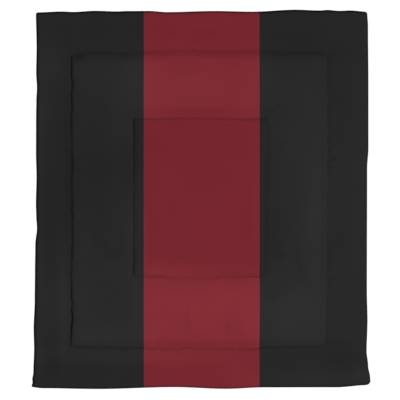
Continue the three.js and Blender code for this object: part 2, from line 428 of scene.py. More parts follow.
def round_corner(x, y):
    """The flat cut with its corners rounded. In a corner's square, with a and b the shares of the
    way to its sides, a becomes a times the root of 1 - b b / 2, and b likewise."""
    at_foot = y < 0
    at_left = x < 0
    radius = MM * np.where(
        at_foot,
        np.where(at_left, CORNER_RADII["foot left"], CORNER_RADII["foot right"]),
        np.where(at_left, CORNER_RADII["head left"], CORNER_RADII["head right"]),
    )
    a = np.clip((np.abs(x) - (WIDTH / 2 - radius)) / radius, 0, 1)
    b = np.clip((np.abs(y) - (LENGTH / 2 - radius)) / radius, 0, 1)
    drawn_x = radius * a * (1 - np.sqrt(1 - b * b / 2))
    drawn_y = radius * b * (1 - np.sqrt(1 - a * a / 2))
    return x - np.sign(x) * drawn_x, y - np.sign(y) * drawn_y


def corner_pull(x, y):
    """How far the cloth is pulled in at the corners of the stitching: each line's own pull times the
    nearness to the corner in both directions."""

    def nearness(offset):
        """1 less the square of the offset as a share of the reach, squared."""
        return np.maximum(0, 1 - (offset / CORNER_PULL_REACH) ** 2) ** 2

    pull_x, pull_y = np.zeros((2, *np.broadcast(x, y).shape))
    for rectangle in QUILTING.values():
        for side, inward_x in (("left", 1), ("right", -1)):
            for end, inward_y in (("foot", 1), ("head", -1)):
                upright, level = rectangle[side], rectangle[end]
                share = nearness(x - upright["at"] * MM) * nearness(y - level["at"] * MM)
                pull_x += inward_x * upright["pull"] * MM * share
                pull_y += inward_y * level["pull"] * MM * share
    return pull_x, pull_y


def plan_of(x, y):
    """Where a place of the flat cut lies, seen from above: rounded at the cut's corners, shifted
    with its lines, and pulled in at the corners of the stitching."""
    round_x, round_y = round_corner(x, y)
    pull_x, pull_y = corner_pull(x, y)
    return (
        round_x + pull_x + shift_between(LINES_ACROSS, x, y),
        round_y + pull_y + shift_between(LINES_ALONG, y, x),
    )


def stitched_sides():
    """The eight stitched lines as straight stretches of the flat cut, with their sizes in metres."""
    sides = []
    for rectangle_name, rectangle in QUILTING.items():
        ends = {name: row["at"] * MM for name, row in rectangle.items()}
        for name, row in rectangle.items():
            upright = name in ("left", "right")
            low = (ends[name], ends["foot"]) if upright else (ends["left"], ends[name])
            high = (ends[name], ends["head"]) if upright else (ends["right"], ends[name])
            sizes = {key: row[key] * MM for key in ("height", "inner", "outer", "pucker")}
            shares = {key: row[key] for key in ("spare", "painted_fold_shade")}
            place = dict(rectangle=rectangle_name, low=low, high=high, upright=upright)
            sides.append(dict(**place, **sizes, **shares))
    return sides


SIDES = stitched_sides()


def distance_to(side, x, y):
    """Distance in the flat cut from places to a stitched line."""
    dx = np.maximum(np.maximum(side["low"][0] - x, x - side["high"][0]), 0)
    dy = np.maximum(np.maximum(side["low"][1] - y, y - side["high"][1]), 0)
    return np.hypot(dx, dy)


def from_middle_of(side, x, y):
    """Places along a stitched line: 0 at its middle, and -1 and 1 at its ends."""
    axis = 1 if side["upright"] else 0
    low, high = side["low"][axis], side["high"][axis]
    return 2 * ((x, y)[axis] - low) / (high - low) - 1


def depth_inside(rectangle, x, y):
    """How far places lie inside a stitched rectangle, less than nothing outside it."""
    ends = {name: row["at"] * MM for name, row in QUILTING[rectangle].items()}
    return np.min([x - ends["left"], ends["right"] - x, y - ends["foot"], ends["head"] - y], axis=0)


def ring_share(x, y):
    """1 in the ring between the stitched rectangles and nothing elsewhere, with soft limits."""

    def inside(rectangle):
        """1 inside a stitched rectangle, eased by an S curve to nothing outside it."""
        return smoothstep(depth_inside(rectangle, x, y), -RING_SOFTNESS / 2, RING_SOFTNESS / 2)

    return inside("outer") * (1 - inside("inner"))


def edge_distances(x, y):
    """Distances in the flat cut from places to the knife edge at the left, right, foot and head."""
    return [WIDTH / 2 + x, WIDTH / 2 - x, LENGTH / 2 + y, LENGTH / 2 - y]


def fall_at(side, x, y):
    """The share of its fall that the cloth has made: two exponentials of the distance to the line,
    whose widths differ inside and outside the stitched rectangle."""
    distance = distance_to(side, x, y)
    bank = np.where(depth_inside(side["rectangle"], x, y) > 0, side["inner"], side["outer"])
    shoulder = SHOULDER_WIDENING * bank
    return blend(np.exp(-distance / bank), np.exp(-distance / shoulder), SHOULDER_SHARE)


def edge_fall_at(distance):
    """The same at the knife edge, whose bank is round: a quarter of an ellipse."""
    way_up = np.clip(distance / EDGE_BANK, 0, 1)
    bank = 1 - np.sqrt(1 - (1 - way_up) ** 2)
    return blend(bank, np.exp(-distance / EDGE_SHOULDER_REACH), EDGE_SHOULDER_SHARE)


def together(shares):
    """Several shares of one fall together: 1 less the product of what each leaves."""
    return 1 - np.prod([1 - share for share in shares], axis=0)


def weighted(shares, values):
    """The mean of the stitched lines' values, weighted by their shares."""
    total = np.sum(shares, axis=0)
    return sum(share * value for share, value in zip(shares, values)) / np.maximum(total, LEAST_TOTAL)


def loft_at(x, y):
    """The filling's height before it is quilted: a low border, an S-shaped slope from the outer
    stitched rectangle to the inner one, and a level middle."""

    def share(value, low, high):
        """One way's share of the rise: an S curve up to the middle times an S curve down from it."""
        outer, inner = QUILTING["outer"], QUILTING["inner"]
        rise = smoothstep(value, outer[low]["at"] * MM, inner[low]["at"] * MM)
        fall = smoothstep(value, inner[high]["at"] * MM, outer[high]["at"] * MM)
        return rise * (1 - fall)

    return blend(BORDER_LOFT, CENTRE_LOFT, share(x, "left", "right") * share(y, "foot", "head"))


def crown_at(x, y):
    """The crown of each panel: its rise times the product, over the stitched lines and the edges, of 1
    less an exponential of the distance."""
    distances = [distance_to(side, x, y) for side in SIDES] + edge_distances(x, y)
    return CROWN_RISE * (1 - together([np.exp(-distance / CROWN_REACH) for distance in distances]))


def bells_at(rows, x, y):
    """The sum of soft patches: each row's last value times bell curves in both directions."""
    return sum(
        peak * bell(x / MM - mid_x, reach_x) * bell(y / MM - mid_y, reach_y)
        for mid_x, mid_y, reach_x, reach_y, peak in rows
    )


def wrinkles_at(x, y):
    """The sum of soft troughs: across each a bell curve, and along it a flatter one, of the fourth
    power."""
    total = np.zeros(np.broadcast(x, y).shape)
    for mid_x, mid_y, turn, length, half_width, depth in WRINKLES:
        run_x, run_y = math.cos(math.radians(turn)), math.sin(math.radians(turn))
        off_x, off_y = x / MM - mid_x, y / MM - mid_y
        along = (off_x * run_x + off_y * run_y) / (length / 2)
        across = (off_y * run_x - off_x * run_y) / half_width
        total -= depth * MM * np.exp(-(along**4) - across**2)
    return total


def waves_at(x, y):
    """The sum of sines that run in random directions with random lengths and starts, lower outside
    the ring."""
    random = np.random.default_rng(WAVE_SEED)
    total = np.zeros(np.broadcast(x, y).shape)
    for _ in range(WAVE_COUNT):
        direction, begin = random.uniform(0, 2 * math.pi, 2)
        along = x * math.cos(direction) + y * math.sin(direction)
        total += np.sin(2 * math.pi * along / random.uniform(*WAVE_LENGTHS) + begin)
    return WAVE_HEIGHT * blend(WAVE_SHARE_OUTSIDE_RING, 1, ring_share(x, y)) * total


def puckers_at(x, y):
    """Puckers across the stitching. Along each line runs a noise of short and long waves, slanting
    as it leaves the line; its height grows with the distance and then dies away, and is lower
    inside the stitched rectangle and towards the line's ends, by the square of the place."""
    total = np.zeros(np.broadcast(x, y).shape)
    for number, side in enumerate(SIDES):
        distance = distance_to(side, x, y)
        along, across = (y, x - side["low"][0]) if side["upright"] else (x, y - side["low"][1])
        seed = PUCKER_SEED + PUCKER_SEED_STEP * number
        slanted = along + across * PUCKER_SLANT * noise_along(along, PUCKER_SLANT_SPACING, seed)
        short_waves = noise_along(slanted, PUCKER_SPACING, seed + 1)
        long_waves = LONG_PUCKER_SHARE * noise_along(slanted, LONG_PUCKER_SPACING, seed + 2)
        patchiness = PUCKER_PATCHINESS * noise_along(along, PUCKER_PATCH_SPACING, seed + 3)
        patches = 1 - PUCKER_PATCHINESS + patchiness
        patches *= 1 - PUCKER_LOSS_AT_ENDS * np.minimum(from_middle_of(side, x, y) ** 2, 1)
        bump = distance / PUCKER_PEAK * np.exp(1 - distance / PUCKER_PEAK)
        is_inside = depth_inside(side["rectangle"], x, y) > 0
        height = side["pucker"] * np.where(is_inside, PUCKER_SHARE_INSIDE, 1)
        total += height * patches * (short_waves + long_waves) * bump
    return total


def face_height(x, y):
    """Height of the face: the filling's crown, drawn down to the stitching and to the edge."""
    falls = [fall_at(side, x, y) for side in SIDES]
    hills = MM * bells_at(LUMPS, x, y) + waves_at(x, y) + wrinkles_at(x, y)
    filled = loft_at(x, y) + crown_at(x, y) + hills
    quilted = blend(filled, weighted(falls, [side["height"] for side in SIDES]), together(falls))
    edge_falls = [edge_fall_at(distance) for distance in edge_distances(x, y)]
    return blend(quilted + puckers_at(x, y), EDGE_HEIGHT, together(edge_falls))


def back_height(x, y):
    """Height of the back: flat on the surface, lifted into grooves under the stitching, which
    have puckers of their own, and lifted to the knife edge."""
    lifts = [np.maximum(0, 1 - distance_to(side, x, y) / BACK_GROOVE_REACH) ** 2 for side in SIDES]
    groove = weighted(lifts, [side["height"] - SEAM_THICKNESS for side in SIDES]) * together(lifts)
    puckered = groove + PUCKER_SHARE_ON_BACK * np.abs(puckers_at(x, y)) * together(lifts)
    edge_lifts = [
        np.maximum(0, 1 - distance / FLAT_INSET) ** EDGE_LIFT_POWER
        for distance in edge_distances(x, y)
    ]
    return blend(puckered, EDGE_HEIGHT, together(edge_lifts))


def stations_of(lines):
    """Places of the grid one way: between neighbouring lines a number of cells that divides by the
    coarsest step, spaced by a mix of an even share and a cosine that crowds them towards the lines."""
    places = [place for place, _ in lines]
    stations = [places[:1]]
    for start, end in zip(places, places[1:]):
        cells = COARSEST_STEP * max(1, round((end - start) / CELL / COARSEST_STEP))
        even = np.arange(1, cells + 1) / cells
        crowded = (1 - np.cos(math.pi * even)) / 2
        stations.append(blend(start, end, blend(even, crowded, CROWDING)))
    return np.concatenate(stations)


ACROSS = stations_of(LINES_ACROSS)
ALONG = stations_of(LINES_ALONG)
CUT_X, CUT_Y = np.meshgrid(ACROSS, ALONG)


def outline_middle():
    """The middle of the box around the knife edge, which the part's frame has over its origin."""
    plan_x, plan_y = plan_of(CUT_X, CUT_Y)
    return (plan_x.min() + plan_x.max()) / 2, (plan_y.min() + plan_y.max()) / 2


MIDDLE_X, MIDDLE_Y = outline_middle()


def surface_of(x, y, height):
    """Points of a cloth in the part's frame: the plan, moved over the origin, with its heights."""
    plan_x, plan_y = plan_of(x, y)
    return np.stack([plan_x - MIDDLE_X, plan_y - MIDDLE_Y, height], axis=-1)


def cells_of(index):
    """The four-cornered faces of a grid of point numbers, turning left seen from above."""
    corners = (index[:-1, :-1], index[:-1, 1:], index[1:, 1:], index[1:, :-1])
    return np.stack(corners, axis=-1).reshape(-1, 4)


def tube_cells(index):
    """The same for a tube: a grid of point numbers whose rows close on themselves."""
    return cells_of(np.concatenate([index, index[:, :1]], axis=1))


def rim_cells(rim, back):
    """Faces that join the back's coarse grid to the face's rim, which has a point more in every
    cell: five corners along the sides and six at the corners, turning left seen from above."""
    faces = []
    first, middle, last = slice(2, -4, 2), slice(3, -2, 2), slice(4, -2, 2)
    low, high = slice(1, -2), slice(2, -1)
    sides = [
        (rim[0, first], rim[0, middle], rim[0, last], back[1, high], back[1, low]),
        (back[-2, low], back[-2, high], rim[-1, last], rim[-1, middle], rim[-1, first]),
        (rim[first, 0], back[low, 1], back[high, 1], rim[last, 0], rim[middle, 0]),
        (back[low, -2], rim[first, -1], rim[middle, -1], rim[last, -1], back[high, -2]),
    ]
    for side in sides:
        faces += np.stack(side, axis=-1).tolist()
    faces.append([rim[0, 0], rim[0, 1], rim[0, 2], back[1, 1], rim[2, 0], rim[1, 0]])
    faces.append([rim[0, -3], rim[0, -2], rim[0, -1], rim[1, -1], rim[2, -1], back[1, -2]])
    faces.append([rim[-3, 0], back[-2, 1], rim[-1, 2], rim[-1, 1], rim[-1, 0], rim[-2, 0]])
    faces.append([back[-2, -2], rim[-3, -1], rim[-2, -1], rim[-1, -1], rim[-1, -2], rim[-1, -3]])
    return faces


def new_object(name, vertices, faces):
    """An object at the origin with a smooth-shaded mesh of the given points and faces."""
    mesh = bpy.data.meshes.new(name)
    mesh.from_pydata(vertices, [], faces)
    mesh.shade_smooth()
    made = bpy.data.objects.new(name, mesh)
    bpy.context.scene.collection.objects.link(made)
    return made


def closed_cloth(name, x, y, face):
    """One closed surface: the face's points on a grid over the flat cut, and the back on every
    second line of that grid, joined at the rim. Gives back the object, the flat cut's places of
    all its points, and the number of the face's cells."""
    inside = (slice(2, -2, 2), slice(2, -2, 2))
    back_x, back_y = x[inside], y[inside]
    back = surface_of(back_x, back_y, back_height(back_x, back_y))

    face_index = np.arange(x.size).reshape(x.shape)
    back_index = face_index[::2, ::2].copy()
    back_index[1:-1, 1:-1] = x.size + np.arange(back_x.size).reshape(back_x.shape)

    face_cells = cells_of(face_index).tolist()
    back_cells = cells_of(back_index[1:-1, 1:-1]).tolist() + rim_cells(face_index, back_index)
    turned_cells = [cell[::-1] for cell in back_cells]
    vertices = np.concatenate([face.reshape(-1, 3), back.reshape(-1, 3)])
    made = new_object(name, vertices, face_cells + turned_cells)
    cut = np.stack([np.append(x, back_x), np.append(y, back_y)], axis=-1)
    return made, cut, len(face_cells)


# How the cloth settles: the filling presses the face out, spare cloth at the stitching wrinkles,
# and the filling holds the face near its height. Points that lie on a line, to within a hair, are
# held by it, and weights are rounded to a few levels.
SETTLE_FRAMES = 16
FILLING_PRESSURE = 0.6
FILLING_HOLD = 0.4
FILLING_STIFFNESS = 0.03
BENDING_STIFFNESS = 0.05
SPARE_CLOTH = 0.01
SPARE_REACH = 32 * MM
LARGEST_MOVE = 4 * MM
ON_LINE = 0.1 * MM
WEIGHT_LEVELS = 12


def spare_at(x, y):
    """Share of spare cloth: each line's own share times a bell curve of the distance; the line
    with the most counts."""
    shares = [side["spare"] * bell(distance_to(side, x, y), SPARE_REACH) for side in SIDES]
    return np.max(shares, axis=0)


def set_weights(piece, name, weights):
    """A vertex group whose weights are rounded to a few levels."""
    group = piece.vertex_groups.new(name=name)
    levels = np.round(weights * WEIGHT_LEVELS)
    for level in np.unique(levels):
        group.add(np.flatnonzero(levels == level).tolist(), level / WEIGHT_LEVELS, "REPLACE")


def between(grid):
    """Puts a value between every two along the first axis: nine sixteenths of each neighbour less
    a sixteenth of the next ones out."""
    padded = np.concatenate([grid[:1], grid, grid[-1:]])
    middles = (9 * (padded[1:-2] + padded[2:-1]) - padded[:-3] - padded[3:]) / 16
    full = np.empty((len(grid) + len(middles), *grid.shape[1:]))
    full[::2] = grid
    full[1::2] = middles
    return full


def settled_moves(face):
    """How far the face's points move as the cloth settles. A sheet of every second line is
    simulated, held at the stitching, the edge and the back, and its moves are limited and carried
    to the lines between."""
    coarse = (slice(None, None, 2), slice(None, None, 2))
    x, y = CUT_X[coarse], CUT_Y[coarse]
    start = face[coarse]
    sheet, cut, _ = closed_cloth("settling_sheet", x, y, start)
    stitch_distance = np.min([distance_to(side, *cut.T) for side in SIDES], axis=0)
    edge_distance = np.min(edge_distances(*cut.T), axis=0)
    held = np.minimum(stitch_distance, edge_distance) < ON_LINE
    held[x.size:] = True
    set_weights(sheet, "held", np.where(held, 1.0, FILLING_HOLD))
    set_weights(sheet, "taut", 1 - spare_at(*cut.T))

    cloth = sheet.modifiers.new("settling", "CLOTH")
    cloth.collision_settings.use_collision = False
    settings = cloth.settings
    settings.vertex_group_mass = "held"
    settings.pin_stiffness = FILLING_STIFFNESS
    settings.bending_stiffness = BENDING_STIFFNESS
    settings.use_pressure = True
    settings.uniform_pressure_force = FILLING_PRESSURE
    settings.effector_weights.gravity = 0
    settings.vertex_group_shrink = "taut"
    settings.shrink_min = -SPARE_CLOTH
    settings.shrink_max = 0
    cloth.point_cache.frame_end = SETTLE_FRAMES
    for number in range(1, SETTLE_FRAMES + 1):
        bpy.context.scene.frame_set(number)

    settled = sheet.evaluated_get(bpy.context.evaluated_depsgraph_get()).data
    points = np.empty(3 * len(settled.vertices), dtype=np.float32)
    settled.vertices.foreach_get("co", points)
    moves = points.reshape(-1, 3)[:x.size].reshape(start.shape) - start
    bpy.data.objects.remove(sheet)
    bpy.context.scene.frame_set(1)

    lengths = np.linalg.norm(moves, axis=-1, keepdims=True)
    limited = moves * LARGEST_MOVE / np.maximum(lengths, LARGEST_MOVE)
    return between(between(limited).swapaxes(0, 1)).swapaxes(0, 1)


def painted_fold_shade_at(x, y):
    """Painted shade of the folds: at the stitches each line's share times a bell curve of the
    distance, uneven along the line and stronger towards its ends, and in the wrinkles a share of
    their depth; the darkest counts."""
    shares = [-PAINTED_WRINKLE_SHADE * wrinkles_at(x, y) / MM]
    for number, side in enumerate(SIDES):
        along = y if side["upright"] else x
        uneven = PAINTED_FOLD_UNEVENNESS * noise_along(along, PAINTED_FOLD_SPACING, PAINTED_FOLD_SEED + number)
        at_ends = PAINTED_FOLD_ADDED_AT_ENDS * np.minimum(from_middle_of(side, x, y) ** 2, 1)
        strength = side["painted_fold_shade"] * (PAINTED_FOLD_AT_MIDDLE + uneven + at_ends)
        shares.append(strength * bell(distance_to(side, x, y), PAINTED_FOLD_REACH))
    return np.max(shares, axis=0)


def painted_edge_shade_at(x, y):
    """Painted shade along the edge: each side's own at the edge, eased to 1 inside it; the darkest
    counts."""
    shades = [
        blend(shade, 1, smoothstep(distance, *PAINTED_EDGE_SHADE_REACH))
        for shade, distance in zip(PAINTED_EDGE_SHADES.values(), edge_distances(x, y))
    ]
    return np.min(shades, axis=0)


def painted_light_at(x, y):
    """Painted light and shade, as a nap value: paler in the ring, and paler or darker in soft
    patches.
    """
    ring = RING_PAINTED_LIGHT * ring_share(x, y)
    patches = sum(bells_at(rows, x, y) for rows in PAINTED_LIGHT_PATCHES.values())
    return np.clip(PAINTED_LIGHT_LEVEL + ring + patches, 0, 1)


def make_comforter():
    """The filled comforter, settled. It carries the flat cut as its UV map, and for each point the
    painted shade along the edge, the painted shade of the folds, and the nap value of painted light
    and shade. Its face has the first material and its back the second. Gives back the object and
    the face's points."""
    face = surface_of(CUT_X, CUT_Y, face_height(CUT_X, CUT_Y))
    face = face + settled_moves(face)
    made, cut, face_cells = closed_cloth("quilted_comforter", CUT_X, CUT_Y, face)

    mesh = made.data
    corner_points = np.empty(len(mesh.loops), dtype=np.int32)
    mesh.loops.foreach_get("vertex_index", corner_points)
    cut_map = mesh.uv_layers.new(name="cut")
    cut_map.uv.foreach_set("vector", cut[corner_points].astype(np.float32).ravel())

    # Painted shade at the edge and in the folds, and painted light and shade by the nap value.
    layers = {
        "painted_edge_shade": painted_edge_shade_at(*cut.T),
        "painted_fold_shade": painted_fold_shade_at(*cut.T),
        "nap_and_painted_light": painted_light_at(*cut.T),
    }
    for name, values in layers.items():
        layer = mesh.attributes.new(name, "FLOAT", "POINT")
        layer.data.foreach_set("value", values.astype(np.float32))

    cloth_numbers = np.zeros(len(mesh.polygons), dtype=np.int32)
    cloth_numbers[face_cells:] = 1
    mesh.polygons.foreach_set("material_index", cloth_numbers)
    return made, face


def sample_grid(grid, x, y):
    """Values of a grid over the flat cut at places in it, by straight interpolation both ways."""
    column = np.clip(np.searchsorted(ACROSS, x) - 1, 0, len(ACROSS) - 2)
    row = np.clip(np.searchsorted(ALONG, y) - 1, 0, len(ALONG) - 2)
    share_x = ((x - ACROSS[column]) / (ACROSS[column + 1] - ACROSS[column]))[..., None]
    share_y = ((y - ALONG[row]) / (ALONG[row + 1] - ALONG[row]))[..., None]
    low = blend(grid[row, column], grid[row, column + 1], share_x)
    high = blend(grid[row + 1, column], grid[row + 1, column + 1], share_x)
    return blend(low, high, share_y)


# The quilting stitches. The end rings of a stitch lie at shares of its length. Its arch, and how deep
# its ends are sunk in the cloth, are in radii of the thread.
STITCH_PITCH = 6.5 * MM
STITCH_LENGTH = 5.0 * MM
THREAD_RADIUS = 0.55 * MM
STITCH_RINGS = 5
STITCH_SIDES = 5
END_RINGS = (0.02, 0.98)
STITCH_ARCH = 1.5
STITCH_SINK = 0.6


def stitch_ends():
    """The two ends of every stitch in the flat cut: stitches at an even pitch along each side."""
    starts, ends = [], []
    for side in SIDES:
        low, high = np.array(side["low"]), np.array(side["high"])
        length = np.linalg.norm(high - low)
        direction = (high - low) / length
        count = round(length / STITCH_PITCH)
        begin = (np.arange(count) + 0.5) * length / count - STITCH_LENGTH / 2
        starts.append(low + direction * begin[:, None])
        ends.append(low + direction * (begin + STITCH_LENGTH)[:, None])
    return np.concatenate(starts), np.concatenate(ends)


def make_stitches(name, grid, up):
    """Quilting thread on one cloth. Each stitch is a thin tube along a shallow arch between its two
    ends, which lie sunk in the cloth; its radius swells from the ends as the root of a sine."""
    starts, ends = stitch_ends()
    first = sample_grid(grid, *starts.T)
    last = sample_grid(grid, *ends.T)
    run = (last - first) / np.linalg.norm(last - first, axis=-1, keepdims=True)
    upward = np.array([0, 0, up])
    sideways = np.cross(run, upward)
    sideways /= np.linalg.norm(sideways, axis=-1, keepdims=True)
    lift = np.cross(sideways, run)

    share = np.linspace(*END_RINGS, STITCH_RINGS)
    swell = np.sqrt(np.sin(math.pi * share))
    rise = THREAD_RADIUS * (STITCH_ARCH * np.sin(math.pi * share) - STITCH_SINK)
    middles = blend(first[:, None], last[:, None], share[:, None]) + lift[:, None] * rise[:, None]

    turn = 2 * math.pi * np.arange(STITCH_SIDES) / STITCH_SIDES
    round_out = (
        sideways[:, None, None] * np.cos(turn)[:, None] + lift[:, None, None] * np.sin(turn)[:, None]
    )
    vertices = middles[:, :, None] + round_out * (THREAD_RADIUS * swell)[:, None, None]

    index = np.arange(STITCH_RINGS * STITCH_SIDES).reshape(STITCH_RINGS, STITCH_SIDES)
    offsets = index.size * np.arange(len(starts))
    wall_faces = (offsets[:, None, None] + tube_cells(index)).reshape(-1, 4).tolist()
    first_caps = (offsets[:, None] + index[0, ::-1]).tolist()
    last_caps = (offsets[:, None] + index[-1]).tolist()
    return new_object(name, vertices.reshape(-1, 3), wall_faces + first_caps + last_caps)


def add_node(tree, kind, values=None, **settings):
    """A shader node with its settings, and its sockets set to numbers or linked to other sockets."""
    made = tree.nodes.new(kind)
    for name, setting in settings.items():
        setattr(made, name, setting)
    for socket, value in (values or {}).items():
        if isinstance(value, bpy.types.NodeSocket):
            tree.links.new(value, made.inputs[socket])
        else:
            made.inputs[socket].default_value = value
    return made


def work_out(tree, operation, first, second=0.0):
    """The output of a Math node."""
    return add_node(tree, "ShaderNodeMath", {0: first, 1: second}, operation=operation).outputs[0]


def map_range(tree, value, from_low, from_high, to_low, to_high):
    """A value carried from one range to another, kept inside the new one."""
    values = {0: value, 1: from_low, 2: from_high, 3: to_low, 4: to_high}
    return add_node(tree, "ShaderNodeMapRange", values, clamp=True).outputs[0]


def noise_of(tree, vector, size, detail, roughness=0.5):
    """Noise from 0 to 1 with blotches of about the given size in metres."""
    values = {"Vector": vector, "Scale": 1 / size, "Detail": detail, "Roughness": roughness}
    return add_node(tree, "ShaderNodeTexNoise", values).outputs[0]


def factor_of(tree, noise, spread, change):
    """A factor of 1 in the middle of a noise's range, and lower or higher by the change at its spread
    from there and beyond."""
    return map_range(tree, noise, 0.5 - spread, 0.5 + spread, 1 - change, 1 + change)


def mix_colours(tree, share, first, second, blend_type="MIX"):
    """The output of a colour mix, which has its colours on a Mix node's sockets 6 and 7."""
    values = {0: share, 6: first, 7: second}
    return add_node(tree, "ShaderNodeMix", values, data_type="RGBA", blend_type=blend_type).outputs[2]


def shaded(tree, colour, shade):
    """A colour times a shade."""
    grey = add_node(tree, "ShaderNodeCombineColor", {0: shade, 1: shade, 2: shade}).outputs[0]
    return mix_colours(tree, 1.0, colour, grey, "MULTIPLY")


def relief_of(tree, height, strength, distance, under=None):
    """The normal of a fine relief, laid over another normal where one is given."""
    values = {"Strength": strength, "Distance": distance, "Height": height}
    if under is not None:
        values["Normal"] = under
    return add_node(tree, "ShaderNodeBump", values).outputs[0]


def new_material(name, finish):
    """A material, its tree and its Principled shader, with the finish's constants on its sockets."""
    material = bpy.data.materials.new(name)
    material.use_nodes = True
    tree = material.node_tree
    shader = tree.nodes["Principled BSDF"]
    for socket, value in finish.items():
        shader.inputs[socket].default_value = value
    return material, tree, shader


# Colours of the dyed cloth, as light that it gives back, painted dark where the nap value is 0 and
# painted pale with a whitish painted sheen where it is 1, and of the thread.
CHARCOAL = {"painted_shade": (0.0115, 0.0115, 0.0115, 1), "painted_light": (0.0277, 0.0277, 0.0277, 1)}
DARK_RED = {"painted_shade": (0.1275, 0.0091, 0.0171, 1), "painted_light": (0.2790, 0.0333, 0.0443, 1)}
THREAD_GREY = (0.010, 0.010, 0.0105, 1)
THREAD_RED = (0.080, 0.008, 0.012, 1)

# Roughness of the cloth where its fibres lie and where they stand, and the power that makes the
# painted shade along the edge weaker on the band.
CLOTH_ROUGHNESS = (0.84, 0.98)
BAND_EDGE_POWER = 0.5

# The dye at the band's limits: the noise that it bleeds by, how far, and half the width of its blur.
BLEED_NOISE = dict(size=4 * MM, detail=2)
BLEED = 0.8 * MM
HALF_BLUR = 0.7 * MM

# Noises of the cloth and the thread, how they change the colour, and the fine reliefs.
CLOUD_NOISE = dict(size=220 * MM, detail=3)
FIBRE_NOISE = dict(size=3 * MM, detail=3, roughness=0.6)
NAP_NOISE = dict(size=2.2 * MM, detail=3, roughness=0.6)
CRUMPLE_NOISE = dict(size=38 * MM, detail=3, roughness=0.45)
PLY_NOISE = dict(size=0.5 * MM, detail=2)
CLOUD_CHANGE = dict(spread=0.25, change=0.04)
FIBRE_CHANGE = dict(spread=0.3, change=0.1)
PLY_CHANGE = dict(spread=0.3, change=0.25)
CRUMPLE_RELIEF = dict(strength=0.5, distance=1.0 * MM)
NAP_RELIEF = dict(strength=0.25, distance=0.25 * MM)
WEAVE_RELIEF = dict(strength=0.35, distance=0.12 * MM)
TWIST_RELIEF = dict(strength=0.4, distance=0.1 * MM)
WEAVE_PITCH = 1.0 * MM


def weave_height(tree, cut):
    """Plain weave: ribs one way and the other, each a sine of the cut, crossing over and under."""
    split = add_node(tree, "ShaderNodeSeparateXYZ", {0: cut})
    ribs = []
    for axis in (0, 1):
        turns = work_out(tree, "MULTIPLY", split.outputs[axis], 2 * math.pi / WEAVE_PITCH)
        ribs.append(work_out(tree, "SINE", turns))
    crossing = work_out(tree, "MULTIPLY", ribs[0], ribs[1])
    return map_range(tree, crossing, -1, 1, 0, 1)


def band_share(tree, place):
    """1 in the printed band and 0 beside it, with a limit that the dye blurs and bleeds across."""
    across = add_node(tree, "ShaderNodeSeparateXYZ", {0: place}).outputs[0]
    from_middle = work_out(tree, "ABSOLUTE", work_out(tree, "ADD", across, MIDDLE_X))
    bleed = map_range(tree, noise_of(tree, place, **BLEED_NOISE), 0, 1, -BLEED, BLEED)
    depth = work_out(tree, "SUBTRACT", BAND_HALF_WIDTH, work_out(tree, "ADD", from_middle, bleed))
    return map_range(tree, depth, -HALF_BLUR, HALF_BLUR, 0, 1)


def make_cloth(name, has_band):
    """Brushed polyester cloth: dyed colour, painted paler with a whitish painted sheen or darker by
    the nap value, with cloudy and fibrous variation, painted shade in the folds of the stitching
    and along the edge, over bumps of crumpling, nap and weave."""
    material, tree, shader = new_material(name, {
        "Specular IOR Level": 0.05,
        "Sheen Weight": 0.06,
        "Sheen Roughness": 0.45,
        "Sheen Tint": (1, 1, 1, 1),
    })
    place = add_node(tree, "ShaderNodeTexCoord").outputs["Object"]
    cut = add_node(tree, "ShaderNodeUVMap", uv_map="cut").outputs[0]
    # Painted shade at the edge and in the folds, and painted light and shade by the nap value.
    painted_edge_shade, painted_fold_shade, painted_light = (
        add_node(tree, "ShaderNodeAttribute", attribute_name=layer).outputs["Fac"]
        for layer in ("painted_edge_shade", "painted_fold_shade", "nap_and_painted_light")
    )

    # The colour is painted darker or paler, with a whitish painted sheen, by the nap value.
    colour = mix_colours(tree, painted_light, CHARCOAL["painted_shade"], CHARCOAL["painted_light"])
    if has_band:
        share = band_share(tree, place)
        red = mix_colours(tree, painted_light, DARK_RED["painted_shade"], DARK_RED["painted_light"])
        colour = mix_colours(tree, share, colour, red)
        # On the band the painted shade along the edge is weaker.
        power = map_range(tree, share, 0, 1, 1, BAND_EDGE_POWER)
        painted_edge_shade = work_out(tree, "POWER", painted_edge_shade, power)

    shade = factor_of(tree, noise_of(tree, cut, **CLOUD_NOISE), **CLOUD_CHANGE)
    fibres = factor_of(tree, noise_of(tree, cut, **FIBRE_NOISE), **FIBRE_CHANGE)
    # Painted shade in the folds and along the edge darkens the colour.
    painted_fold_factor = work_out(tree, "SUBTRACT", 1.0, painted_fold_shade)
    for factor in (fibres, painted_edge_shade, painted_fold_factor):
        shade = work_out(tree, "MULTIPLY", shade, factor)
    tree.links.new(shaded(tree, colour, shade), shader.inputs["Base Color"])

    nap_and_painted_light = noise_of(tree, cut, **NAP_NOISE)
    tree.links.new(map_range(tree, nap_and_painted_light, 0, 1, *CLOTH_ROUGHNESS), shader.inputs["Roughness"])

    crumpled = relief_of(tree, noise_of(tree, cut, **CRUMPLE_NOISE), **CRUMPLE_RELIEF)
    napped = relief_of(tree, nap_and_painted_light, **NAP_RELIEF, under=crumpled)
    woven = relief_of(tree, weave_height(tree, cut), **WEAVE_RELIEF, under=napped)
    tree.links.new(woven, shader.inputs["Normal"])
    return material


